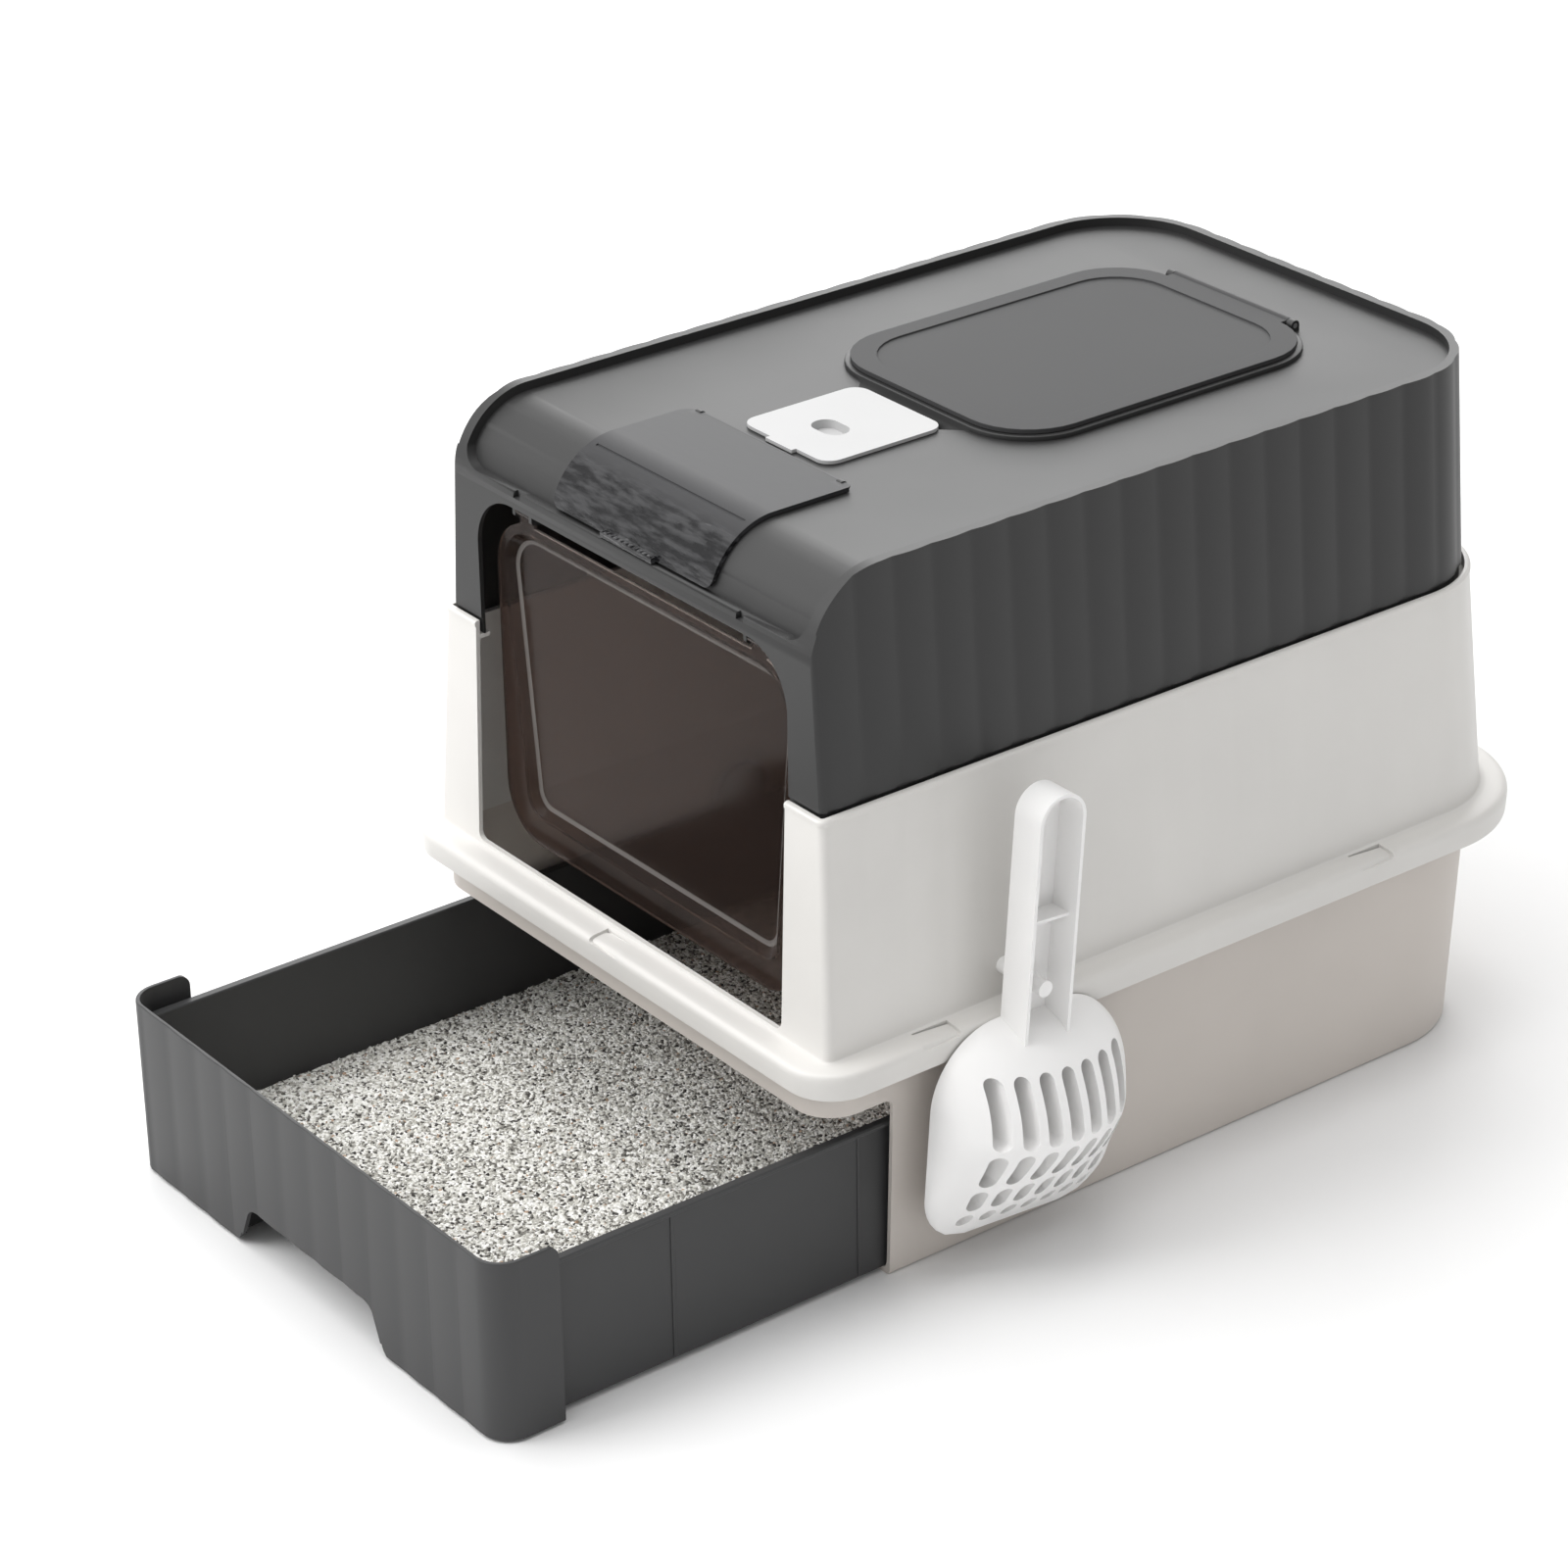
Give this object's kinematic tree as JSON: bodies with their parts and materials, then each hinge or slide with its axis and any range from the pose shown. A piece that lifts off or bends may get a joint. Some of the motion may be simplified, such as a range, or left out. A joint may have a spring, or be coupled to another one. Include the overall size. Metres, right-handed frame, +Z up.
{
  "type": "enclosed cat litter box with pull-out drawer",
  "caption": "Enclosed cat litter box with a white base and body, dark grey cover, smoked swing door, roof hatch, pull-out litter drawer and hanging scoop.",
  "frame": {"origin": "on the ground under the middle of the base tray's floor", "axes": "+Z up, -Y towards the drawer and doorway, +X towards the side that carries the scoop"},
  "size_m": [0.4212, 0.7135, 0.3982],
  "materials": {
    "white_shell": "fine satin moulding",
    "dark_cover": "fine satin moulding",
    "smoked_door": "see-through brown smoke",
    "dark_drawer": "fine satin moulding",
    "litter": "loose grey granules",
    "smoked_flap": "glossy dark smoke",
    "white_plate": "smooth white",
    "sachet_cloth": "non-woven bag",
    "white_scoop": "smooth white",
    "pin_steel": "plain wire"
  },
  "bodies": {
    "base": {"base_tray": "white_shell"},
    "body": {"body_shell": "white_shell", "scoop_peg": "white_shell"},
    "cover": {"top_cover": "dark_cover", "door_pin_left": "pin_steel", "door_pin_right": "pin_steel", "hatch_hinge_pin": "pin_steel", "window_flap_pin": "pin_steel"},
    "door": {"entry_door": "smoked_door"},
    "hatch": {"hatch_lid": "dark_cover"},
    "flap": {"window_flap": "smoked_flap"},
    "cup": {"deodoriser_cup": "dark_cover", "charcoal_sachet": "sachet_cloth"},
    "plate": {"deodoriser_plate": "white_plate"},
    "drawer": {"litter_drawer": "dark_drawer", "litter_bed": "litter"},
    "scoop": {"scoop": "white_scoop"}
  },
  "joints": [
    {"name": "body_lift", "type": "slide", "parent": "base", "child": "body", "axis": [0, 0, 1], "range_m": [0, 0.15]},
    {"name": "cover_lift", "type": "slide", "parent": "body", "child": "cover", "axis": [0, 0, 1], "range_m": [0, 0.15]},
    {"name": "door_swing", "type": "hinge", "parent": "cover", "child": "door", "pos_m": [0, -0.227, 0.347], "axis": [1, 0, 0], "range_deg": [-75, 75]},
    {"name": "hatch_hinge", "type": "hinge", "parent": "cover", "child": "hatch", "pos_m": [0, 0.176, 0.3952], "axis": [-1, 0, 0], "range_deg": [0, 110]},
    {"name": "flap_hinge", "type": "hinge", "parent": "cover", "child": "flap", "pos_m": [0, -0.144, 0.3929], "axis": [-1, 0, 0], "range_deg": [0, 100]},
    {"name": "cup_lift", "type": "slide", "parent": "cover", "child": "cup", "axis": [0, 0, 1], "range_m": [0, 0.04]},
    {"name": "plate_lift", "type": "slide", "parent": "cup", "child": "plate", "axis": [0, 0, 1], "range_m": [0, 0.04]},
    {"name": "drawer_slide", "type": "slide", "parent": "base", "child": "drawer", "axis": [0, -1, 0], "range_m": [-0.206, 0.165]},
    {"name": "scoop_off", "type": "slide", "parent": "body", "child": "scoop", "axis": [1, 0, 0], "range_m": [0, 0.08]}
  ]
}
